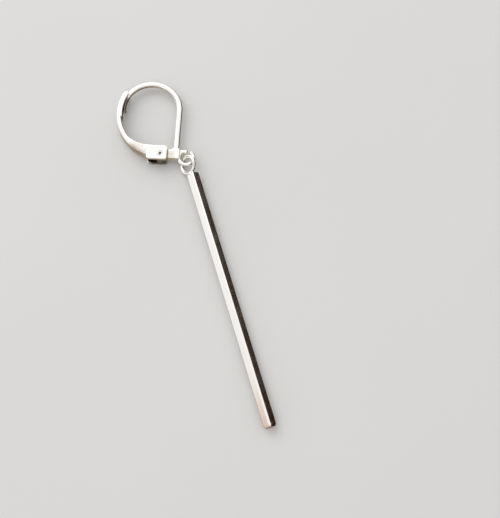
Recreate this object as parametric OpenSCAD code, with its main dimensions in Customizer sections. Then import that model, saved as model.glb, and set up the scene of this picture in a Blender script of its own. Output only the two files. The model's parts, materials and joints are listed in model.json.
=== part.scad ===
/* [Bar] */
// Length of the square bar
bar_length = 44.8; // [20:0.1:60]
// Width of each face of the bar
bar_width = 1.5; // [1.4:0.05:1.6]
// Radius of the softened long edges of the bar
bar_edge_radius = 0.15; // [0.05:0.05:0.3]
// Length over which the bar's free end is filed down
end_file_length = 0.5; // [0.3:0.1:1]
// Depth of that filing on each face, at the end
end_file_depth = 0.15; // [0.1:0.05:0.3]

/* [Soldered ring] */
// Radius of the ring, to the middle of its wire
ring_radius = 1.45; // [1.4:0.01:1.45]
// Diameter of the ring wire
ring_wire = 0.58; // [0.5:0.02:0.58]
// Turn of the ring about the bar's length
ring_roll = 45.5; // [44:0.5:45.5]
// Offset of the ring from the bar's centreline, square to the ring
ring_offset = 0.5; // [0.5:0.01:0.55]
// Depth to which the ring is sunk into the bar's end
ring_sink = 0.15; // [0.1:0.05:0.25]
// Radius of the bead of solder between the ring and the bar
solder_radius = 0.38; // [0.34:0.02:0.46]

/* [Ear wire] */
// Diameter of the round ear wire
wire_diameter = 1; // [0.9:0.05:1]
// Radius of the arch, to the middle of the wire
arch_radius = 4.88; // [4.8:0.01:4.95]
// Distance from the hinge pin across to the upright leg
leg_reach = 2.57; // [2.5:0.01:2.6]
// Height above the hinge pin at which the leg turns into the arch
leg_height = 8.6; // [8.5:0.05:8.8]
// Angle that the full round wire sweeps over the arch
arch_sweep = 142; // [139:1:142]
// Angle over which the round wire is filed down to the tongue
file_sweep = 8; // [7:1:10]
// Angle that the filed tongue goes on from there
tongue_sweep = 40; // [30:1:42]
// Thickness of the filed tongue
tongue_thickness = 0.3; // [0.25:0.05:0.4]

/* [Body plate and loop] */
// Thickness of the body plate
plate_thickness = 1.1; // [1.1:0.05:1.2]
// Thickness of the round boss on the plate, between the lever's ears
boss_thickness = 1.3; // [1.2:0.05:1.35]
// Height of the plate's upper edge above the pin, left of the leg
plate_shoulder = 1.05; // [1:0.05:1.15]
// Height of the plate's upper edge above the pin, right of the leg
plate_top = 1.32; // [1.3:0.02:1.36]
// Depth of the plate's lower edge under the pin
plate_bottom = 0.55; // [0.5:0.05:0.8]
// Distance from the hinge pin across to the plate's straight end
plate_reach = 3.2; // [3.15:0.01:3.25]
// Radius of the hollow curve by which the leg flares out to the plate
flare_radius = 0.8; // [0.5:0.05:0.9]
// Distance from the hinge pin across to the middle of the loop
loop_reach = 4.37; // [4.3:0.01:4.4]
// Distance of the loop's middle under the hinge pin
loop_drop = 0.12; // [0.08:0.01:0.16]
// Radius of the loop, to the middle of its wire
loop_radius = 1.23; // [1.2:0.01:1.26]
// Diameter of the loop's wire
loop_wire = 0.62; // [0.56:0.02:0.62]
// Direction in which the loop springs from the lug, from the loop's middle
loop_start_angle = -220; // [-225:1:-215]
// Direction of the loop's free end, from the loop's middle
loop_end_angle = 48; // [44:1:52]
// Diameter of the lug over the loop
lug_diameter = 0.75; // [0.65:0.05:0.75]
// Distance of the middle of the lug's round end short of the loop's middle
lug_short = 0.17; // [0.15:0.01:0.3]

/* [Lever] */
// Width of the lever's channel over both ears
lever_width = 2.4; // [2.4:0.05:2.6]
// Thickness of the sheet that the lever is pressed from
sheet = 0.5; // [0.45:0.05:0.5]
// Radius of the spine's outer curve, along its back
lever_radius = 8.45; // [8.4:0.01:8.5]
// Position of the middle of the lever's curve, across from the hinge pin
lever_middle_x = 0.29; // [0.25:0.01:0.33]
// Position of the middle of the lever's curve, above the hinge pin
lever_middle_y = 7.67; // [7.62:0.01:7.72]
// Direction of the lever's tip, from the middle of its curve
tip_angle = 151; // [151:1:153]
// Distance of the tip's point inside the spine's outer curve
tip_inset = 0.6; // [0.55:0.05:0.65]
// Direction of the flat end face of the tip
tip_face_turn = 102; // [98:1:106]
// Direction of the bevel that brings the outer side in to the tip
tip_bevel_turn = 28; // [24:1:32]
// Direction at which the tip's side lips end
lip_end_angle = 188; // [184:1:190]
// Depth of the channel over the tip's side lips
lip_depth = 1; // [0.95:0.05:1.05]
// Depth of the channel beyond the lips
spine_depth = 0.85; // [0.85:0.01:0.9]
// Direction at which the spine ends, beside the ears
spine_end_angle = 252; // [250:1:253]
// Radius of the bend between the spine and its side walls
bend_radius = 0.8; // [0.7:0.05:0.8]
// Height of the ears' straight upper edge above the pin
ear_top = 1.48; // [1.4:0.02:1.5]
// Depth of the ears' lower edge under the pin
ear_bottom = 1.05; // [1:0.05:1.1]
// Reach of the ears' end beyond the pin
ear_reach = 1.15; // [1.1:0.05:1.3]
// Radius of the ears' corners
ear_corner = 0.45; // [0.3:0.05:0.5]
// Radius of the hollow curve along the ears' upper edge
ear_hollow_radius = 6.4; // [6.3:0.05:6.5]
// Distance behind the pin at which that hollow curve starts
ear_hollow_start = 1.8; // [1.7:0.05:1.9]

/* [Hinge pin] */
// Diameter of the rivet
pin_diameter = 0.9; // [0.8:0.05:1]
// Clearance all round the rivet in the lever's ears
pin_clearance = 0.04; // [0.02:0.01:0.06]
// Clearance all round the rivet in the body plate
pin_seat = 0.01; // [0.01:0.01:0.02]
// Radius of the round dimple in each end of the rivet
dimple_radius = 0.3; // [0.28:0.01:0.4]
// Depth of that dimple
dimple_depth = 0.22; // [0.15:0.01:0.25]

/* [Lie] */
// Turn of the ear wire against the bar, clockwise from above
hook_turn = 19.9; // [19:0.1:21]
// Distance of the ring's middle below the loop's middle
ring_hang = 1.44; // [1.4:0.01:1.5]
// Distance of the ring's middle to the left of the loop's middle
ring_side = 0.08; // [0.04:0.01:0.1]

/* [Hidden] */
$fn = 64;
wire_radius = wire_diameter / 2;
lug_radius = lug_diameter / 2;
mid_height = lever_width / 2;
arch_middle = [leg_reach - arch_radius, leg_height];
tongue_start = arch_sweep + file_sweep;
tongue_back = arch_radius - wire_radius + tongue_thickness;
loop_middle = [loop_reach, -loop_drop];
lever_middle = [lever_middle_x, lever_middle_y];
tip_point = lever_middle + (lever_radius - tip_inset) * [cos(tip_angle), sin(tip_angle)];
cutter = 4;
// Small step round the ball on the loop's end, so that the ball stays clear of the wire's surface
end_step = 0.01;
spine_end_x = lever_middle_x + lever_radius * cos(spine_end_angle);
bar_roll = 45;
edge_height = bar_width / sqrt(2) - bar_edge_radius * (sqrt(2) - 1);
ring_rise = ring_radius + ring_wire / 2 - ring_sink;

function turned(p, a) = [p[0] * cos(a) - p[1] * sin(a), p[0] * sin(a) + p[1] * cos(a)];

arch_place = turned(arch_middle, -hook_turn);
loop_place = turned(loop_middle, -hook_turn);
lever_place = turned(lever_middle, -hook_turn);
bar_place = [
    loop_place[0] - ring_side + ring_offset * sin(ring_roll),
    loop_place[1] - ring_hang - ring_rise
];
right_side = arch_place[0] + arch_radius + wire_radius;
left_side = lever_place[0] - lever_radius;
top_side = arch_place[1] + arch_radius + wire_radius;
end_side = bar_place[1] - bar_length;
pin_place = [-(right_side + left_side) / 2, -(top_side + end_side) / 2];

module rounded_box(w, h, r) {
    translate([r, 0])
        square([w - 2 * r, h]);
    translate([0, r])
        square([w, h - 2 * r]);
    for (x = [r, w - r], y = [r, h - r])
        translate([x, y])
            circle(r);
}

// Everything on the ear wire is drawn with the hinge pin at the origin, then set in its place
module set_in_place() {
    translate([pin_place[0], pin_place[1], mid_height])
        rotate(-hook_turn)
            children();
}

// The round wire over the arch, with its end filed off at a slant down to the tongue
module arch() {
    file_top = arch_middle + (arch_radius + wire_radius) * [cos(arch_sweep), sin(arch_sweep)];
    file_foot = arch_middle + tongue_back * [cos(tongue_start), sin(tongue_start)];
    file_turn = atan2(file_foot[1] - file_top[1], file_foot[0] - file_top[0]);
    difference() {
        translate(arch_middle)
            rotate_extrude(angle = tongue_start, start = 0)
                translate([arch_radius, 0])
                    circle(wire_radius);
        translate(file_top)
            rotate(file_turn)
                translate([-cutter / 2, -cutter, -wire_diameter])
                    cube([2 * cutter, cutter, 2 * wire_diameter]);
    }
}

module tongue() {
    translate(arch_middle)
        rotate_extrude(angle = tongue_sweep, start = tongue_start)
            intersection() {
                translate([arch_radius, 0])
                    circle(wire_radius);
                translate([arch_radius - wire_radius, -wire_radius])
                    square([tongue_thickness, wire_diameter]);
            }
}

module leg() {
    foot = plate_shoulder + flare_radius;
    translate([leg_reach, foot, 0])
        rotate([-90, 0, 0])
            cylinder(h = leg_height - foot, r = wire_radius);
}

module plate_outline() {
    leg_left = leg_reach - wire_radius;
    translate([0, -plate_bottom])
        square([plate_reach, plate_bottom + plate_shoulder]);
    translate([leg_left, 0])
        square([plate_reach - leg_left, plate_top]);
}

// The foot of the leg, which flares out to the plate in a hollow curve
module flare() {
    intersection() {
        translate([leg_reach, plate_shoulder, 0])
            rotate([-90, 0, 0])
                rotate_extrude()
                    difference() {
                        square([wire_radius + flare_radius, flare_radius]);
                        translate([wire_radius + flare_radius, flare_radius])
                            circle(flare_radius);
                    }
        translate([0, 0, -plate_thickness / 2])
            cube([plate_reach, plate_shoulder + flare_radius, plate_thickness]);
    }
}

module body_plate() {
    difference() {
        union() {
            translate([0, 0, -plate_thickness / 2])
                linear_extrude(plate_thickness)
                    plate_outline();
            cylinder(h = boss_thickness, r = plate_shoulder, center = true);
        }
        cylinder(h = 2 * boss_thickness, d = pin_diameter + 2 * pin_seat, center = true);
    }
}

module lug() {
    lug_end = loop_reach - lug_short;
    translate([leg_reach, plate_top - lug_radius, 0])
        rotate([0, 90, 0])
            cylinder(h = lug_end - leg_reach, r = lug_radius);
    translate([lug_end, plate_top - lug_radius, 0])
        sphere(lug_radius);
}

module loop() {
    translate(loop_middle)
        rotate_extrude(angle = loop_end_angle - loop_start_angle, start = loop_start_angle)
            translate([loop_radius, 0])
                circle(d = loop_wire);
    translate(loop_middle + loop_radius * [cos(loop_end_angle), sin(loop_end_angle)])
        sphere(d = loop_wire - end_step);
}

module ear_hook() {
    color("silver")
        set_in_place() {
            arch();
            tongue();
            leg();
            flare();
            body_plate();
            lug();
            loop();
        }
}

// The channel's section: a rounded back with a side wall on each edge
module channel_section(depth) {
    near = lever_radius - depth;
    difference() {
        intersection() {
            translate([lever_radius - lever_width, -mid_height])
                rounded_box(lever_width, lever_width, bend_radius);
            translate([near, -mid_height])
                square([depth, lever_width]);
        }
        translate([near - sheet, sheet - mid_height])
            square([depth, lever_width - 2 * sheet]);
    }
}

// The two flat cuts that leave the tip as a wedge
module tip_cuts() {
    translate([tip_point[0], tip_point[1], 0]) {
        rotate(tip_face_turn)
            translate([0, -cutter / 2, 0])
                cube([2 * cutter, cutter, 2 * lever_width], center = true);
        rotate(tip_bevel_turn)
            translate([0, cutter / 2, 0])
                cube([2 * cutter, cutter, 2 * lever_width], center = true);
    }
}

module spine() {
    tip_start = tip_angle - asin(tip_inset / lever_radius);
    difference() {
        translate(lever_middle) {
            rotate_extrude(angle = spine_end_angle - tip_start, start = tip_start)
                channel_section(spine_depth);
            rotate_extrude(angle = lip_end_angle - tip_start, start = tip_start)
                channel_section(lip_depth);
        }
        tip_cuts();
    }
}

module ear_outline() {
    translate([spine_end_x, -ear_bottom])
        rounded_box(ear_reach - spine_end_x, ear_bottom + ear_top, ear_corner);
    difference() {
        intersection() {
            translate(lever_middle)
                circle(lever_radius - (bend_radius + spine_depth) / 2);
            translate([-2 * lever_radius, -lever_radius])
                square([2 * lever_radius - ear_hollow_start, lever_radius + lever_middle_y]);
        }
        translate([-ear_hollow_start, ear_top + ear_hollow_radius])
            circle(ear_hollow_radius);
    }
}

module ears() {
    for (low = [-mid_height, mid_height - sheet])
        translate([0, 0, low])
            linear_extrude(sheet)
                ear_outline();
}

module lever() {
    color("silver")
        set_in_place()
            difference() {
                union() {
                    spine();
                    ears();
                }
                cylinder(h = 2 * lever_width, d = pin_diameter + 2 * pin_clearance, center = true);
            }
}

module hinge_pin() {
    color("gainsboro")
        set_in_place()
            difference() {
                cylinder(h = lever_width, d = pin_diameter, center = true);
                for (side = [-1, 1])
                    translate([0, 0, side * (mid_height + dimple_radius - dimple_depth)])
                        sphere(dimple_radius);
            }
}

module bar() {
    file_turn = atan(end_file_depth / end_file_length);
    difference() {
        rotate([90, 0, 0])
            linear_extrude(bar_length)
                translate([-bar_width / 2, -bar_width / 2])
                    rounded_box(bar_width, bar_width, bar_edge_radius);
        for (face = [0 : 90 : 270])
            rotate([0, face, 0])
                translate([bar_width / 2, end_file_length - bar_length, 0])
                    rotate(-file_turn)
                        translate([0, -bar_width, -bar_width])
                            cube([bar_width, 2 * bar_width, 2 * bar_width]);
    }
}

module ring() {
    rotate([0, -ring_roll, 0]) {
        translate([0, ring_rise, ring_offset])
            rotate_extrude()
                translate([ring_radius, 0])
                    circle(ring_wire / 2);
        translate([0, 0, ring_offset])
            sphere(solder_radius);
    }
}

module bar_drop() {
    color("lightgray")
        translate([pin_place[0] + bar_place[0], pin_place[1] + bar_place[1], edge_height]) {
            rotate([0, -bar_roll, 0])
                bar();
            ring();
        }
}

ear_hook();
lever();
hinge_pin();
bar_drop();
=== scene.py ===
# %% [markdown]
# # A bar earring on a leverback ear wire
# The earring is four pieces of silver: an ear wire with its body plate and loop, a lever bent
# from sheet, a rivet that the lever turns on, and a square bar with a ring soldered to its end.
# The construction is fixed already. This lesson dresses it: it models each piece again with the
# soft edges that casting, filing and tumbling leave, and gives each one its finish.

# %% Load the frame
import json
import math

import bmesh
import bpy
from mathutils import Matrix, Vector


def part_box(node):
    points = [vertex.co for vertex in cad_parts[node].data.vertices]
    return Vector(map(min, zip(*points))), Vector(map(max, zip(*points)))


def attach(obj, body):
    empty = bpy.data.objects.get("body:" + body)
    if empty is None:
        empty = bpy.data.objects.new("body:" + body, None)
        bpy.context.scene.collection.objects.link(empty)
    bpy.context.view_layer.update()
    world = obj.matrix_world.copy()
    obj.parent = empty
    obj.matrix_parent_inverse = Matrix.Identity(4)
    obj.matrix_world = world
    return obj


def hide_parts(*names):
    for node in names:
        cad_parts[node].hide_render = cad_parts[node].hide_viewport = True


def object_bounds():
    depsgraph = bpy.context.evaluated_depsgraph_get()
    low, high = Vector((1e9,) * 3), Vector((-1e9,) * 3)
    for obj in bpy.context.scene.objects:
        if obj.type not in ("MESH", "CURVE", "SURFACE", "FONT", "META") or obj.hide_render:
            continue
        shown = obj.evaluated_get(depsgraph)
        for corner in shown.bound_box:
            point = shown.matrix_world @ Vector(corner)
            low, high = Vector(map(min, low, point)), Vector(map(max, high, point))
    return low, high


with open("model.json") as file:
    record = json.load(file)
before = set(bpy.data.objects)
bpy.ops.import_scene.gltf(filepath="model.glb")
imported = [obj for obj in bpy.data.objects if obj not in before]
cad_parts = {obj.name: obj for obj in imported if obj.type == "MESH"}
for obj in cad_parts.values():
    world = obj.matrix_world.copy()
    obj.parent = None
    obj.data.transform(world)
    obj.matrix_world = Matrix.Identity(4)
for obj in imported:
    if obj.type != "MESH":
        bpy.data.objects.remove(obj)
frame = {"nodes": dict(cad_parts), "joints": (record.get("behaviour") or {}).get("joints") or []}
cad_low, cad_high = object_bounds()
print("nodes:", sorted(frame["nodes"]), "box:", [round(v, 4) for v in cad_high - cad_low])

# %% [markdown]
# ## A bench that works in millimetres
# Jewellery is drawn in millimetres, and 0.5 is easier to read and to check than 0.0005. So each
# piece is modelled in millimetres, with the hinge at the origin and the ear wire upright, and its
# finished mesh is scaled, turned and set down last. Remeshing works at either scale. The hinge's
# place is read from the joint in the frame.

# %% Places and turns shared by the pieces
MM = 0.001
HOOK_TURN = math.radians(-19.9)
hinge = Vector(frame["joints"][0]["pos_m"])
wire_place = Matrix.Translation(hinge) @ Matrix.Rotation(HOOK_TURN, 4, "Z") @ Matrix.Scale(MM, 4)
print("hinge at", [round(v / MM, 2) for v in hinge], "mm")

# %% [markdown]
# ## Shapes to start from
# Every form on this earring begins as one of five things: a block, a rod, a ball, a section swept
# round an arc, or a profile turned on a lathe. The helpers below make them with mesh operators,
# and each finished form is a closed shell. Sweeping and turning are both the spin operator. A
# swept section is an open tube, so its two ends are filled afterwards, and the normals set last.

# %% Blocks, rods and balls
SIDES = 40


def closed(shape):
    """The shape with doubled points merged, its ends filled and its faces turned outwards."""
    bmesh.ops.remove_doubles(shape, verts=shape.verts, dist=0.0001)
    open_edges = [edge for edge in shape.edges if edge.is_boundary]
    if open_edges:
        bmesh.ops.holes_fill(shape, edges=open_edges, sides=0)
    bmesh.ops.recalc_face_normals(shape, faces=shape.faces)
    return shape


def rounded(shape, edges, radius, segments=4):
    """The shape with these edges rounded off."""
    bmesh.ops.bevel(
        shape, geom=edges, offset=radius, offset_type="OFFSET", affect="EDGES",
        segments=segments, profile=0.5, material=-1, clamp_overlap=True,
    )
    return shape


def block(low, high):
    """A block between two corners."""
    low, high = Vector(low), Vector(high)
    shape = bmesh.new()
    bmesh.ops.create_cube(shape, size=1)
    bmesh.ops.scale(shape, vec=high - low, verts=shape.verts)
    bmesh.ops.translate(shape, vec=(low + high) / 2, verts=shape.verts)
    return shape


def rod(foot, top, radius, sides=SIDES):
    """A straight round rod from one point to another."""
    foot, top = Vector(foot), Vector(top)
    turn = Vector((0, 0, 1)).rotation_difference(top - foot).to_matrix().to_4x4()
    shape = bmesh.new()
    bmesh.ops.create_cone(
        shape, cap_ends=True, segments=sides, radius1=radius, radius2=radius,
        depth=(top - foot).length, matrix=Matrix.Translation((foot + top) / 2) @ turn,
    )
    return shape


def ball(middle, radius):
    """A ball, used to round off the end of a wire."""
    shape = bmesh.new()
    bmesh.ops.create_uvsphere(
        shape, u_segments=SIDES, v_segments=SIDES // 2, radius=radius,
        matrix=Matrix.Translation(Vector(middle)),
    )
    return shape


print("a block has", len(block((0, 0, 0), (1, 1, 1)).faces), "faces")

# %% Sections swept round an arc, and turned profiles
QUARTER = math.radians(90)
ARC_STEP, LATHE_STEPS = 2.5, 72


def wire_section(distance, radius, sides=SIDES):
    """The round section of a wire, standing upright at this distance from the middle."""
    shape = bmesh.new()
    bmesh.ops.create_circle(shape, segments=sides, radius=radius)
    bmesh.ops.rotate(shape, cent=(0, 0, 0), matrix=Matrix.Rotation(QUARTER, 3, "X"), verts=shape.verts)
    bmesh.ops.translate(shape, vec=(distance, 0, 0), verts=shape.verts)
    return shape


def strip_section(near, far, half_width, rounding=0.0, inner_rounding=0.0):
    """A flat strip's section, with its two outer corners and its two inner ones rounded."""
    shape = bmesh.new()
    bmesh.ops.create_grid(shape, x_segments=1, y_segments=1, size=0.5)
    bmesh.ops.scale(shape, vec=(far - near, 2 * half_width, 1), verts=shape.verts)
    middle = (near + far) / 2
    bmesh.ops.translate(shape, vec=(middle, 0, 0), verts=shape.verts)
    outer = [vert for vert in shape.verts if vert.co.x > middle]
    inner = [vert for vert in shape.verts if vert.co.x < middle]
    for corners, radius in ((outer, rounding), (inner, inner_rounding)):
        if radius:
            bmesh.ops.bevel(
                shape, geom=corners, offset=radius, offset_type="OFFSET", affect="VERTICES",
                segments=8, profile=0.5, material=-1,
            )
    bmesh.ops.rotate(shape, cent=(0, 0, 0), matrix=Matrix.Rotation(QUARTER, 3, "X"), verts=shape.verts)
    bmesh.ops.delete(shape, geom=shape.faces[:], context="FACES_ONLY")
    return shape


def swept(section, middle, start, end):
    """The section carried round the middle from one direction to another, in degrees."""
    centre = Vector((middle[0], middle[1], 0))
    first = Matrix.Rotation(math.radians(start), 3, "Z")
    bmesh.ops.rotate(section, cent=(0, 0, 0), matrix=first, verts=section.verts)
    bmesh.ops.translate(section, vec=centre, verts=section.verts)
    whole = abs(end - start) >= 360
    bmesh.ops.spin(
        section, geom=section.verts[:] + section.edges[:], cent=centre, axis=(0, 0, 1),
        angle=math.radians(end - start), steps=math.ceil(abs(end - start) / ARC_STEP),
        use_merge=whole, use_normal_flip=False, use_duplicate=False,
    )
    return closed(section)


def turned(profile):
    """A profile of (radius, height) points turned round the upright axis."""
    shape = bmesh.new()
    points = [shape.verts.new((radius, 0, height)) for radius, height in profile]
    for one, other in zip(points, points[1:]):
        shape.edges.new((one, other))
    bmesh.ops.spin(
        shape, geom=shape.verts[:] + shape.edges[:], cent=(0, 0, 0), axis=(0, 0, 1),
        angle=math.radians(360), steps=LATHE_STEPS, use_merge=True,
    )
    return closed(shape)


def sliced(shape, point, normal):
    """The shape with everything on the normal's side of a plane cut away."""
    bmesh.ops.bisect_plane(
        shape, geom=shape.verts[:] + shape.edges[:] + shape.faces[:], dist=0.00001,
        plane_co=Vector(point), plane_no=Vector(normal), clear_outer=True,
    )
    return closed(shape)


print("a swept wire has", len(swept(wire_section(4, 0.4), (0, 0), 0, 90).faces), "faces")

# %% [markdown]
# ## Cutting, melting and setting down
# A drilled or milled hollow is a boolean cut, made on the plain shells while they have few faces.
# The soft look of cast metal comes next. One voxel remesh joins all the shells of a piece into a
# single skin, and a few rounds of smoothing melt the joints into small fillets and take the
# sharpness off each edge, as tumbling does. Bevels made one by one are hard to bring together
# where a round wire runs into a plate. The finer the voxel, the crisper the piece.

# %% Bench work on whole shells
def mesh_of(shape, name):
    """The shape as a mesh. The shape itself is used up."""
    mesh = bpy.data.meshes.new(name)
    shape.to_mesh(mesh)
    shape.free()
    return mesh


def as_object(shape, name="bench"):
    """A working object that holds the shape."""
    made = bpy.data.objects.new(name, mesh_of(shape, name))
    bpy.context.scene.collection.objects.link(made)
    return made


def worked(made):
    """The object's mesh with its modifiers applied. The working object goes."""
    bpy.context.view_layer.update()
    graph = bpy.context.evaluated_depsgraph_get()
    mesh = bpy.data.meshes.new_from_object(made.evaluated_get(graph))
    bpy.data.objects.remove(made)
    return mesh


def carved(shape, *tools):
    """The shape with each tool's form cut out of it."""
    made = as_object(shape)
    cutters = [as_object(tool, "cutter") for tool in tools]
    for cutter in cutters:
        cut = made.modifiers.new("cut", "BOOLEAN")
        cut.operation, cut.solver, cut.object = "DIFFERENCE", "EXACT", cutter
    mesh = worked(made)
    for cutter in cutters:
        bpy.data.objects.remove(cutter)
    left = bmesh.new()
    left.from_mesh(mesh)
    return left


def gathered(shells):
    """All the shells in one mesh, not yet joined."""
    heap = bmesh.new()
    for shell in shells:
        mesh = mesh_of(shell, "shell")
        heap.from_mesh(mesh)
        bpy.data.meshes.remove(mesh)
    return heap


VOXEL, ROUNDS = 0.045, 9


def melted(shells, voxel, rounds):
    """One smooth skin round all the shells, as a casting or a soldered joint has."""
    made = as_object(gathered(shells))
    remesh = made.modifiers.new("melt", "REMESH")
    remesh.mode, remesh.voxel_size, remesh.adaptivity = "VOXEL", voxel, 0.0
    polish = made.modifiers.new("tumble", "SMOOTH")
    polish.factor, polish.iterations = 0.5, rounds
    return worked(made)


def set_down(name, mesh, place, body, node, finish):
    """The finished piece: in its place, smooth, riding on its body and standing for its node."""
    mesh.transform(place)
    mesh.name = name
    mesh.polygons.foreach_set("use_smooth", [True] * len(mesh.polygons))
    mesh.materials.clear()
    mesh.materials.append(finish)
    piece = bpy.data.objects.new(name, mesh)
    bpy.context.scene.collection.objects.link(piece)
    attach(piece, body)
    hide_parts(node)
    low = [round(min(v.co[axis] for v in mesh.vertices) / MM, 2) for axis in range(3)]
    high = [round(max(v.co[axis] for v in mesh.vertices) / MM, 2) for axis in range(3)]
    print(name, "faces", len(mesh.polygons), "from", low, "to", high, "mm")
    return piece


# %% [markdown]
# ## Shader sums written as sums
# A finish is a few readings of the surface, mixed in proportion. Adding Math nodes one by one
# hides the sum, so a small class wraps a socket and turns +, - and * into nodes. Every other node
# comes from one method, which sets the node's own settings before it fills the sockets, because
# some settings change which sockets there are.

# %% Readings and recipes
class Reading:
    """A value that changes over the metal."""

    def __init__(self, recipe, socket):
        self.recipe = recipe
        self.socket = socket

    def sum_of(self, operation, *values):
        return self.recipe.add("ShaderNodeMath", {"operation": operation}, *values)

    def __add__(self, other):
        return self.sum_of("ADD", self, other)

    def __sub__(self, other):
        return self.sum_of("SUBTRACT", self, other)

    def __rsub__(self, other):
        return self.sum_of("SUBTRACT", other, self)

    def __mul__(self, other):
        return self.sum_of("MULTIPLY", self, other)

    def or_else(self, other):
        """The greater of two readings."""
        return self.sum_of("MAXIMUM", self, other)

    __radd__ = __add__
    __rmul__ = __mul__

    def spread(self, low, high):
        """0 where the reading is low, 1 where it is high, and a straight line between."""
        settings = {"clamp": True}
        return self.recipe.add("ShaderNodeMapRange", settings, self, low, high, 0.0, 1.0)


class Recipe:
    """A material or a sky under construction: its nodes, and the shader that they lead to."""

    def __init__(self, made, shader="Principled BSDF"):
        made.use_nodes = True
        self.made = made
        self.tree = made.node_tree
        self.shader = self.tree.nodes[shader]

    def fill(self, socket, value):
        if isinstance(value, Reading):
            self.tree.links.new(value.socket, socket)
        elif hasattr(socket.default_value, "__len__") and len(socket.default_value) == 4:
            socket.default_value = (*value, 1.0)
        else:
            socket.default_value = value

    def add(self, kind, settings, *inputs, output=0, **named):
        node = self.tree.nodes.new(kind)
        for setting, value in settings.items():
            setattr(node, setting, value)
        for socket, value in zip(node.inputs, inputs):
            self.fill(socket, value)
        for socket_name, value in named.items():
            self.fill(node.inputs[socket_name], value)
        return Reading(self, node.outputs[output])

    def place(self, scale=(1, 1, 1), turn=(0, 0, 0)):
        """The surface's own coordinates in millimetres, stretched and turned."""
        point = self.add("ShaderNodeTexCoord", {}, output="Object")
        stretch = [part / MM for part in scale]
        return self.add("ShaderNodeMapping", {}, point, Rotation=turn, Scale=stretch)

    def grain(self, place, size, detail=2.0, roughness=0.5):
        """Noise from 0 to 1 whose blotches are about this size, in millimetres."""
        return self.add(
            "ShaderNodeTexNoise", {}, Vector=place, Scale=1 / size, Detail=detail, Roughness=roughness,
        )

    def blend(self, share, one, other):
        """A colour between two colours."""
        settings = {"data_type": "RGBA", "clamp_factor": True}
        node = self.add("ShaderNodeMix", settings, output=2)
        mix = node.socket.node
        self.fill(mix.inputs[0], share)
        self.fill(mix.inputs[6], one)
        self.fill(mix.inputs[7], other)
        return node

    def sheltered(self, reach):
        """0 on open metal and up to 1 in a hollow, told from the metal within this reach, in mm."""
        settings = {"samples": 8, "only_local": True}
        return 1.0 - self.add("ShaderNodeAmbientOcclusion", settings, Distance=reach * MM, output="AO")

    def near(self, place, spot, inner, outer):
        """1 within the inner distance of a spot and 0 beyond the outer one, in millimetres."""
        settings = {"operation": "DISTANCE"}
        distance = self.add("ShaderNodeVectorMath", settings, place, spot / MM, output="Value")
        return distance.spread(outer, inner)

    def seam(self, line_x, end, inner, outer):
        """1 along an upright line on the ear wire, near one spot, and 0 to either side of it: where a
        shadow line is painted.
        """
        upright = self.place(turn=(0, 0, -HOOK_TURN))
        origin = (Matrix.Rotation(-HOOK_TURN, 4, "Z") @ hinge).x / MM
        across = self.add("ShaderNodeSeparateXYZ", {}, upright, output="X") - (origin + line_x)
        left_edge, right_edge = (-0.14, 0.0), (0.2, 0.06)
        band = across.spread(*left_edge) * across.spread(*right_edge)
        return band * self.near(self.place(), end, inner, outer)

    def pressed(self, height, depth):
        """The normal of a surface whose height changes by this depth, in millimetres."""
        return self.add("ShaderNodeBump", {}, Strength=1.0, Distance=depth * MM, Height=height)

    def finish(self, **sockets):
        for socket_name, value in sockets.items():
            self.fill(self.shader.inputs[socket_name.replace("_", " ")], value)
        print("finish", self.made.name, "has", len(self.tree.nodes), "nodes")
        return self.made


# %% [markdown]
# ## The finish of the ear wire and the lever
# Both are polished silver, and so are the rivet and the ring. Shade is painted into the metal:
# a warm darker tone in its corners, and near black deep in its hollows. The ambient occlusion
# node finds those places, because it measures how much metal stands round a point. Some named
# spots are painted as well. The tongue, the boss, the lower ear, one side of the ring and a line
# on the plate at the ear's end are painted shade. The plate and the ring's limb are painted
# brownish as shade, and the lever's wing is painted brownish too. They follow a photograph, so
# painting them is a choice. Fine hairlines and a shallow swell break up the reflections.

# %% Polished silver
# Colours of the finish. The warm tone and the near black are painted shade. The brownish tone is
# painted shade on the plate and the ring's limb, and also colours the lever's wing.
SILVER = (0.93, 0.915, 0.89)
WARM_TONE_AND_SHADE = (0.52, 0.40, 0.27)
STAIN_AND_SHADE = (0.42, 0.34, 0.27)
PAINTED_SHADE = (0.07, 0.045, 0.025)
# Named spots: shade is painted at the tongue, the boss, the lower ear, one side of the ring, the plate
# and the ring's limb. The wing's spot is painted brownish.
tongue_spot = wire_place @ Vector((-6.85, 9.0, 0))
wing_spot = wire_place @ Vector((-4.0, 0.2, 1.0))
plate_spot = wire_place @ Vector((1.5, 0.0, 0.5))
boss_spot = wire_place @ Vector((0.0, -1.05, -0.2))
ear_spot = wire_place @ Vector((-0.2, -1.1, -0.9))
ring_spot = wire_place @ Vector((3.5, -0.65, -0.5))
limb_spot = wire_place @ Vector((5.955, -1.661, 1.1))
WING_AND_PLATE = ((wing_spot, 0.6, 2.4), (plate_spot, 0.3, 1.2))
EAR_REACH = 1.15
RELIEF = 0.010
# Where the shadow line on the plate at the ear's end is painted.
ear_edge_shadow_spot = wire_place @ Vector((EAR_REACH, 0.25, 0.55))


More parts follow.
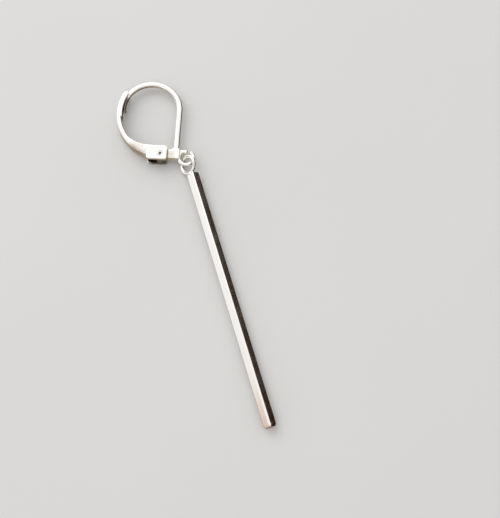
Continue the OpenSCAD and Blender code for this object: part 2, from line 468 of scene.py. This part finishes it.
def polished_silver(name, seed_turn, hollow, shade_spots, stain_and_shade_spots=WING_AND_PLATE, ear_edge_shaded=False):
    """The finish, with painted shade where the surface is this sheltered and at the shade spots."""
    recipe = Recipe(bpy.data.materials.new(name))
    own_place = recipe.place()
    place = recipe.place(turn=(0, 0, seed_turn))
    # Painted shade: a warm darker tone in corners, and near black deeper in hollows.
    corner = recipe.sheltered(0.8).spread(0.12, 0.5)
    deep_shade = recipe.sheltered(1.8).spread(*hollow)
    # Painted shade at the named spots, and a painted shadow line on the plate at the ear's end.
    shade_mask = 0.0
    for spot, inner, outer in shade_spots:
        shade_mask = recipe.near(own_place, spot, inner, outer) + shade_mask
    if ear_edge_shaded:
        shade_mask = shade_mask + recipe.seam(EAR_REACH, ear_edge_shadow_spot, 0.85, 1.1)
    # Brownish at named spots: painted shade on the plate and the ring's limb, and the same tone on the
    # lever's wing.
    stain_and_shade = 0.0
    for spot, inner, outer in stain_and_shade_spots:
        stain_and_shade = recipe.near(own_place, spot, inner, outer) + stain_and_shade
    film = recipe.grain(place, 1.6, detail=4.0).spread(0.45, 0.75)
    hairline_place = recipe.place(scale=(1, 0.06, 1), turn=(0.3, 0.2, seed_turn + 0.7))
    hairline = recipe.grain(hairline_place, 0.07, detail=2.0).spread(0.52, 0.68)
    skin = recipe.grain(place, 0.8, detail=2.0)
    return recipe.finish(
        Base_Color=recipe.blend(
            deep_shade + 0.8 * shade_mask,
            recipe.blend(
                stain_and_shade * (0.55 + 0.6 * film),
                recipe.blend(0.85 * corner + 0.1 * film, SILVER, WARM_TONE_AND_SHADE), STAIN_AND_SHADE,
            ),
            PAINTED_SHADE,
        ),
        Metallic=1.0,
        Roughness=0.15 + 0.10 * film + 0.06 * hairline + 0.12 * corner + 0.12 * stain_and_shade,
        Normal=recipe.pressed(skin + 0.25 * hairline, RELIEF),
    )


# Painted shade: the ear wire at its tongue, its boss and a line at the ear's end; the lever at its
# lower ear; the ring on one side, with its limb painted brownish.
tongue_and_boss = ((tongue_spot, 1.3, 1.9), (boss_spot, 0.7, 1.1))
wire_silver = polished_silver("wire_silver", 0.0, (0.45, 0.75), tongue_and_boss, ear_edge_shaded=True)
lever_silver = polished_silver("lever_silver", 1.1, (0.2, 0.45), ((ear_spot, 1.2, 2.0),))
rivet_silver = polished_silver("rivet_silver", 2.3, (0.12, 0.4), ())
ring_silver = polished_silver(
    "ring_silver", 3.1, (0.45, 0.75), ((ring_spot, 0.3, 0.8),), ((limb_spot, 0.3, 0.9),),
)

# %% [markdown]
# ## The finish of the bar
# The bar is drawn square wire that has been rubbed down on fine paper along its length. It keeps
# a satin face: long, faint lines, and over them a tight pebble grain. The noise for the lines is
# stretched along the bar, which is the Y direction here. Towards its free end the bar is warmer
# in tone, a little at first and more in the last stretch. In the photograph that may be a
# reflection, so here too the paint is a choice.

# %% Satin silver
BAR_SIDE, BAR_EDGE = 1.5, 0.15
BAR_WARM = (0.69, 0.535, 0.45)
FAINT_FROM, STRONG_FROM = 24, 8
half_height = BAR_SIDE / math.sqrt(2) - BAR_EDGE * (math.sqrt(2) - 1)
free_end = cad_low.y / MM
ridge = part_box("bar_drop")[0].z / MM + 2 * half_height


def satin_silver(name):
    """The finish, warmer towards the free end, and on the sides more than along the ridge, which is
    kept bright as a painted highlight.
    """
    recipe = Recipe(bpy.data.materials.new(name))
    place = recipe.place()
    along = recipe.add("ShaderNodeSeparateXYZ", {}, place, output="Y")
    height = recipe.add("ShaderNodeSeparateXYZ", {}, place, output="Z")
    faint = along.spread(free_end + FAINT_FROM, free_end + STRONG_FROM)
    strong = along.spread(free_end + STRONG_FROM, free_end)
    # The warm tone is kept off the top ridge, so the ridge stays bright: a painted highlight.
    warmed = (0.16 * faint + 0.84 * strong) * height.spread(ridge - 0.1, ridge - 0.3)
    rubbed = recipe.grain(recipe.place(scale=(1, 0.02, 1)), 0.09, detail=3.0)
    pebble = recipe.grain(place, 0.16, detail=3.0, roughness=0.6)
    cloud = recipe.grain(place, 2.5, detail=2.0).spread(0.35, 0.7)
    return recipe.finish(
        Base_Color=recipe.blend(warmed + 0.08 * cloud, SILVER, BAR_WARM),
        Metallic=1.0,
        Roughness=0.11 + 0.06 * rubbed + 0.05 * cloud,
        Normal=recipe.pressed(0.5 * rubbed + pebble, RELIEF),
    )


bar_silver = satin_silver("rubbed_bar_silver")

# %% [markdown]
# ## The ear wire
# It is one piece, probably cast. The upright leg runs up into the arch, which ends in a thin
# filed tongue that the lever closes on. At its foot the leg flares into the body plate, which
# carries a round boss for the rivet, a short lug, and a loop bent round to meet the lug. Each
# stretch is a separate shell here, and they overlap, because the remesh joins them.

# %% The arch, the tongue and the leg
WIRE = 0.5
ARCH, ARCH_MIDDLE = 4.88, (-2.31, 8.6)
ARCH_START, FILED_FROM, FILED_TO, TONGUE_END = -2, 142, 150, 190
TONGUE_THICK, TONGUE_LAP = 0.3, 3
TONGUE_BACK = ARCH - WIRE + TONGUE_THICK
LEG_X, LEG_FOOT = 2.57, 1.0


def towards(degrees, distance, middle):
    """The point at this distance and direction from a middle."""
    turn = math.radians(degrees)
    return Vector((middle[0] + distance * math.cos(turn), middle[1] + distance * math.sin(turn), 0))


def filed_arch():
    """The arch's wire, its end filed off at a slant from its outer side down to the tongue."""
    top = towards(FILED_FROM, ARCH + WIRE, ARCH_MIDDLE)
    foot = towards(FILED_TO, TONGUE_BACK, ARCH_MIDDLE)
    slant = foot - top
    arch = swept(wire_section(ARCH, WIRE), ARCH_MIDDLE, ARCH_START, FILED_TO)
    return sliced(arch, top, (slant.y, -slant.x, 0))


def filed_tongue():
    """The wire's inner side alone, flat where the rest of it has been filed away."""
    wire = swept(wire_section(ARCH, WIRE), ARCH_MIDDLE, FILED_TO - TONGUE_LAP, TONGUE_END)
    section = strip_section(TONGUE_BACK, ARCH + 2 * WIRE, 2 * WIRE)
    waste = swept(section, ARCH_MIDDLE, FILED_TO - 2 * TONGUE_LAP, TONGUE_END + 2 * TONGUE_LAP)
    return carved(wire, waste)


shells = [
    filed_arch(),
    filed_tongue(),
    rod((LEG_X, LEG_FOOT, 0), (LEG_X, ARCH_MIDDLE[1], 0), WIRE),
]
print("shells in the arch and leg:", len(shells))

# %% The flare, the plate and the boss
PLATE_HALF, PLATE_END, PLATE_BOTTOM, PLATE_EDGE = 0.55, 3.2, -0.55, 0.1
SHOULDER, PLATE_TOP, FLARE, FLARE_STEPS = 1.05, 1.32, 0.8, 10
BOSS_HALF, PIN_BORE, DRILL_REACH = 0.65, 0.46, 3


def foot_flare():
    """The hollow curve of the leg's foot, no thicker than the plate and no wider than its end."""
    turns = [QUARTER * step / FLARE_STEPS for step in range(FLARE_STEPS + 1)]
    curve = [(WIRE + FLARE * (1 - math.sin(t)), FLARE * (1 - math.cos(t))) for t in turns]
    flare = turned([(0.0, 0.0), *curve, (0.0, FLARE)])
    bmesh.ops.rotate(flare, cent=(0, 0, 0), matrix=Matrix.Rotation(-QUARTER, 3, "X"), verts=flare.verts)
    bmesh.ops.translate(flare, vec=(LEG_X, SHOULDER, 0), verts=flare.verts)
    sliced(flare, (0, 0, PLATE_HALF), (0, 0, 1))
    sliced(flare, (0, 0, -PLATE_HALF), (0, 0, -1))
    return sliced(flare, (PLATE_END, 0, 0), (1, 0, 0))


def body_block(low, high):
    """A block of the body plate, with all its edges eased."""
    plate = block(low, high)
    return rounded(plate, plate.edges[:], PLATE_EDGE)


def drill(radius):
    """A drill along the hinge's line, longer than anything that it goes through."""
    return rod((0, 0, -DRILL_REACH), (0, 0, DRILL_REACH), radius)


lower_block = body_block((0, PLATE_BOTTOM, -PLATE_HALF), (PLATE_END, SHOULDER, PLATE_HALF))
boss = rod((0, 0, -BOSS_HALF), (0, 0, BOSS_HALF), SHOULDER)
shells += [
    foot_flare(),
    carved(lower_block, drill(PIN_BORE)),
    body_block((LEG_X - WIRE, 0, -PLATE_HALF), (PLATE_END, PLATE_TOP, PLATE_HALF)),
    carved(boss, drill(PIN_BORE)),
]
print("shells with the plate:", len(shells))

# %% The lug and the loop
LOOP, LOOP_MIDDLE, LOOP_WIRE = 1.23, (4.37, -0.12), 0.31
LOOP_START, LOOP_END = -220, 48
LUG, LUG_SHORT, BEAD_INSET = 0.375, 0.17, 0.05
BEAD = 1.2 * LUG
LUG_END, LUG_Y = LOOP_MIDDLE[0] - LUG_SHORT, PLATE_TOP - LUG
shells += [
    ball((PLATE_END - BEAD_INSET, LUG_Y - BEAD_INSET, 0), BEAD),
    rod((LEG_X, LUG_Y, 0), (LUG_END, LUG_Y, 0), LUG),
    ball((LUG_END, LUG_Y, 0), LUG),
    swept(wire_section(LOOP, LOOP_WIRE), LOOP_MIDDLE, LOOP_START, LOOP_END),
    ball(towards(LOOP_END, LOOP, LOOP_MIDDLE), LOOP_WIRE),
]
set_down(
    "ear_wire", melted(shells, VOXEL, ROUNDS), wire_place,
    "root", "ear_hook", wire_silver,
)

# %% [markdown]
# ## The lever
# The real lever is sheet, pressed into a channel: a curved back with a side wall on each edge.
# At the hinge the walls widen into two flat ears, and at the tip they stand up as short lips.
# Here the back has three stretches. Each is a rounded strip swept round an arc, and a narrower
# strip cut out of it leaves the channel. Each ear is a flat plate in two parts, and the outer
# curve of its wing runs just inside the back. The lower ear can't be seen from above, so it is a
# guess, made like the upper one.

# %% The back of the lever
BACK, BACK_MIDDLE = 8.45, (0.29, 7.67)
HALF, SHEET = 1.2, 0.5
OUTER_ROUND, INNER_ROUND, LIP_ROUND = 0.5, 0.35, 0.1
TIP, CUT_END, LIP_END, BACK_END = 151, 165, 188, 252
LIP_DEPTH, BACK_DEPTH, MILL_DEPTH = 1.0, 0.85, 3
STRETCH_LAP, MILL_LAP = 1, 4
TIP_INSET, TIP_FACE, TIP_BEVEL = 0.6, 102, 28
tip_point = towards(TIP, BACK - TIP_INSET, BACK_MIDDLE)


def back_strip(depth, start, end, inner_round):
    """A stretch of the channel, from one direction to another."""
    section = strip_section(BACK - depth, BACK, HALF, OUTER_ROUND, inner_round)
    strip = swept(section, BACK_MIDDLE, start, end)
    cutter = strip_section(BACK - MILL_DEPTH, BACK - SHEET, HALF - SHEET)
    return carved(strip, swept(cutter, BACK_MIDDLE, start - MILL_LAP, end + MILL_LAP))


def tip_cut(shape):
    """The flat end face of the tip, and the bevel that leads to it."""
    for degrees, side in ((TIP_FACE, -1), (TIP_BEVEL, 1)):
        turn = math.radians(degrees)
        sliced(shape, tip_point, (-side * math.sin(turn), side * math.cos(turn), 0))
    return shape


shells = [
    tip_cut(back_strip(LIP_DEPTH, TIP - MILL_LAP, CUT_END, LIP_ROUND)),
    back_strip(LIP_DEPTH, CUT_END - STRETCH_LAP, LIP_END, LIP_ROUND),
    back_strip(BACK_DEPTH, LIP_END - STRETCH_LAP, BACK_END, INNER_ROUND),
]
print("the tip is at", [round(v, 2) for v in tip_point])

# %% The ears
EAR_TOP, EAR_BOTTOM, EAR_CORNER, EAR_BORE = 1.48, 1.05, 0.45, 0.49
WING_END, WING_HOLLOW, FINE_SIDES = -1.8, 6.4, 160
back_end_x = BACK_MIDDLE[0] + BACK * math.cos(math.radians(BACK_END))


def ear_end(low):
    """The flat end of an ear, with rounded corners."""
    ear = block((back_end_x, -EAR_BOTTOM, low), (EAR_REACH, EAR_TOP, low + SHEET))
    upright = [edge for edge in ear.edges if abs(edge.verts[0].co.z - edge.verts[1].co.z) > SHEET / 2]
    return rounded(ear, upright, EAR_CORNER, 8)


def ear_wing(low):
    """The part of an ear that narrows along the back, with a hollow upper edge."""
    wing = rod((*BACK_MIDDLE, low), (*BACK_MIDDLE, low + SHEET), BACK - OUTER_ROUND, FINE_SIDES)
    sliced(wing, (WING_END, 0, 0), (1, 0, 0))
    sliced(wing, (0, BACK_MIDDLE[1], 0), (0, 1, 0))
    above = (WING_END, EAR_TOP + WING_HOLLOW)
    return carved(wing, rod((*above, low - 1), (*above, low + 1), WING_HOLLOW, FINE_SIDES))


for low in (-HALF, HALF - SHEET):
    shells.append(carved(ear_end(low), drill(EAR_BORE)))
    shells.append(ear_wing(low))
set_down(
    "lever_channel", melted(shells, VOXEL, ROUNDS), wire_place,
    "lever", "lever", lever_silver,
)

# %% [markdown]
# ## The rivet
# A short wire through both ears, set with a domed punch, which leaves a round dimple in each
# end. It is a turned shape, so half of its section is enough: along the dimple, over the rim,
# down the side, and the same again at the other end.

# %% The rivet
PIN, DIMPLE, DEPTH, RIM, DIMPLE_STEPS = 0.45, 0.3, 0.22, 0.04, 8


def rivet_profile():
    """Half of the rivet's section, from the middle of one dimple to the middle of the other."""
    edge = math.acos((DIMPLE - DEPTH) / DIMPLE)
    turns = [edge * step / DIMPLE_STEPS for step in range(DIMPLE_STEPS + 1)]
    punch_middle = HALF + DIMPLE - DEPTH
    dimple = [(DIMPLE * math.sin(t), punch_middle - DIMPLE * math.cos(t)) for t in turns]
    upper = [*dimple, (PIN - RIM, HALF), (PIN, HALF - RIM)]
    return upper + [(radius, -height) for radius, height in reversed(upper)]


set_down(
    "rivet", mesh_of(turned(rivet_profile()), "rivet"), wire_place,
    "root", "hinge_pin", rivet_silver,
)

# %% [markdown]
# ## The bar
# A straight length of square wire, lying on one long edge. It starts as a block, which is
# extruded once more at the free end. That last face is made smaller, which is what a few strokes
# of a file on each side do. Only then are the edges rounded, so the rounding runs on over the
# filed end.

# %% The bar
BAR_LENGTH = 44.8
FILED_LENGTH, FILED_DEPTH = 0.5, 0.15
ROLL = math.radians(-45)
bar_low, bar_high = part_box("bar_drop")
bar_head = Vector((bar_high.x - half_height * MM, bar_low.y + BAR_LENGTH * MM, half_height * MM))
bar_place = Matrix.Translation(bar_head) @ Matrix.Scale(MM, 4)


def filed_bar():
    """The bar from its head at the origin to its filed end, already on its edge."""
    half = BAR_SIDE / 2
    bar = block((-half, FILED_LENGTH - BAR_LENGTH, -half), (half, 0, half))
    end = [face for face in bar.faces if face.normal.y < -0.9]
    grown = bmesh.ops.extrude_face_region(bar, geom=end)
    tip = [item for item in grown["geom"] if isinstance(item, bmesh.types.BMVert)]
    bmesh.ops.delete(bar, geom=end, context="FACES_ONLY")
    bmesh.ops.translate(bar, vec=(0, -FILED_LENGTH, 0), verts=tip)
    narrow = (half - FILED_DEPTH) / half
    bmesh.ops.scale(bar, vec=(narrow, 1, narrow), verts=tip)
    bmesh.ops.recalc_face_normals(bar, faces=bar.faces)
    rounded(bar, bar.edges[:], BAR_EDGE, 5)
    bmesh.ops.rotate(bar, cent=(0, 0, 0), matrix=Matrix.Rotation(ROLL, 3, "Y"), verts=bar.verts)
    return bar


bar = set_down("bar", mesh_of(filed_bar(), "bar"), bar_place, "root", "bar_drop", bar_silver)
weighted = bar.modifiers.new("flat_faces", "WEIGHTED_NORMAL")
weighted.keep_sharp = True

# %% [markdown]
# ## The ring and its solder
# A round wire ring stands on the end of the bar and is soldered to it. The solder is a ball that
# the ring and the bar share. Ring and ball are melted together so that the metal seems to have
# flowed up the wire, and the ball sinks into the bar's end.

# %% The ring
RING, RING_WIRE, RING_SINK = 1.45, 0.29, 0.15
RING_ROLL, RING_OFFSET, RING_SIDES = math.radians(-45.5), 0.5, 28
RING_VOXEL, RING_ROUNDS = 0.04, 6
SOLDER, SOLDER_RISE = 0.38, 0.02
ring_rise = RING + RING_WIRE - RING_SINK
ring_shells = [
    swept(wire_section(RING, RING_WIRE, RING_SIDES), (0, ring_rise), 0, 360),
    ball((0, SOLDER_RISE, 0), SOLDER),
]
ring_place = bar_place @ Matrix.Rotation(RING_ROLL, 4, "Y") @ Matrix.Translation((0, 0, RING_OFFSET))
set_down(
    "soldered_ring", melted(ring_shells, RING_VOXEL, RING_ROUNDS), ring_place,
    "root", "bar_drop", ring_silver,
)

# %% [markdown]
# ## The floor, the camera and the light
# The floor is a plain pale sheet. The camera looks down steeply, as a person looks at a thing on
# a table. A polished piece shows what stands round it more than it shows its own colour, so most
# of the light is a dome: white overhead, behind and at the left, as a room is towards its window,
# then a dim warm band, and dark at the horizon and a little under it, at the right and in front.
# Seen from the camera, the bar's left face mirrors the white and its right face the dark. The
# same warm tone lies straight below, and the outer edge of each round form mirrors it. A stronger
# gold in this tone makes the silver look like brass from behind. One large soft panel behind adds
# a soft shadow.

# %% The floor
FLOOR_SIZE, FLOOR_CLOUDS = 3.0, 60.0


def pale_floor():
    """A matt pale sheet with very faint clouds in its tone."""
    recipe = Recipe(bpy.data.materials.new("pale_floor"))
    cloud = recipe.grain(recipe.place(), FLOOR_CLOUDS, detail=2.0)
    return recipe.finish(
        Base_Color=recipe.blend(cloud, (0.58, 0.58, 0.575), (0.62, 0.62, 0.615)),
        Roughness=0.85,
    )


floor_shape = bmesh.new()
bmesh.ops.create_grid(floor_shape, x_segments=1, y_segments=1, size=FLOOR_SIZE / 2)
floor = as_object(floor_shape, "floor")
floor.data.materials.append(pale_floor())
floor.visible_glossy = False

# %% The camera
AZIMUTH, ELEVATION = math.radians(-16.75), math.radians(71)
DISTANCE = 165.15 * MM
LOOK_OFFSET = Vector((9.33, -21.70, 0))
FOCAL, SENSOR, NEAREST = 69.5, 36.0, 0.005
look = hinge + LOOK_OFFSET * MM
look.z = 0
back = Vector((
    math.sin(AZIMUTH) * math.cos(ELEVATION),
    -math.cos(AZIMUTH) * math.cos(ELEVATION),
    math.sin(ELEVATION),
))
lens = bpy.data.cameras.new("camera")
lens.lens, lens.sensor_width, lens.clip_start = FOCAL, SENSOR, NEAREST
camera = bpy.data.objects.new("camera", lens)
camera.location = look + back * DISTANCE
camera.rotation_euler = back.to_track_quat("Z", "Y").to_euler()
bpy.context.scene.collection.objects.link(camera)
bpy.context.scene.camera = camera
print("camera at", [round(v / MM, 1) for v in camera.location], "mm")

# %% The light
PANEL_PLACE, PANEL_WIDTH, PANEL_HEIGHT = (-160, 380, 330), 520, 400
PANEL_WATTS, PANEL_COLOUR = 1.2, (1.0, 0.99, 0.97)


def soft_panel(name, where, width, height, watts, colour):
    """A large panel of light, facing the earring. Places are in millimetres."""
    panel = bpy.data.lights.new(name, "AREA")
    panel.shape, panel.size, panel.size_y = "RECTANGLE", width * MM, height * MM
    panel.energy, panel.color = watts, colour
    lamp = bpy.data.objects.new(name, panel)
    lamp.location = Vector(where) * MM
    lamp.rotation_euler = lamp.location.to_track_quat("Z", "Y").to_euler()
    bpy.context.scene.collection.objects.link(lamp)


soft_panel("panel_behind", PANEL_PLACE, PANEL_WIDTH, PANEL_HEIGHT, PANEL_WATTS, PANEL_COLOUR)

# %% The dome of light
WINDOW = Vector((-0.4, 0.65, 0.6)).normalized()
LEFT = Vector((-1.0, 0.0, 0.3)).normalized()
OVERHEAD = Vector((0.0, 0.4, 1.0)).normalized()
DOME_WHITE, DOME_WARM, DOME_DARK = (1.0, 0.995, 0.985), (0.41, 0.345, 0.265), (0.02, 0.009, 0.003)
BACKDROP = (0.62, 0.62, 0.62)


def light_dome():
    """The sky that the silver mirrors. The camera itself sees a plain grey backdrop instead."""
    recipe = Recipe(bpy.data.worlds.new("light_dome"), "Background")
    direction = recipe.add("ShaderNodeTexCoord", {}, output="Generated")
    dot = {"operation": "DOT_PRODUCT"}
    window = recipe.add("ShaderNodeVectorMath", dot, direction, WINDOW, output="Value")
    left = recipe.add("ShaderNodeVectorMath", dot, direction, LEFT, output="Value")
    overhead = recipe.add("ShaderNodeVectorMath", dot, direction, OVERHEAD, output="Value")
    height = recipe.add("ShaderNodeSeparateXYZ", {}, direction, output="Z")
    warm = left.spread(-0.1, 0.3).or_else(height.spread(0.0, 0.2)).or_else(height.spread(-0.4, -0.8))
    bright = window.spread(-0.06, 0.14).or_else(overhead.spread(0.19, 0.32))
    dome = recipe.blend(bright, recipe.blend(warm, DOME_DARK, DOME_WARM), DOME_WHITE)
    seen = recipe.add("ShaderNodeLightPath", {}, output="Is Camera Ray")
    return recipe.finish(Color=recipe.blend(seen, dome, BACKDROP), Strength=1.0)


bpy.context.scene.world = light_dome()
bpy.context.scene.view_settings.view_transform = "Standard"
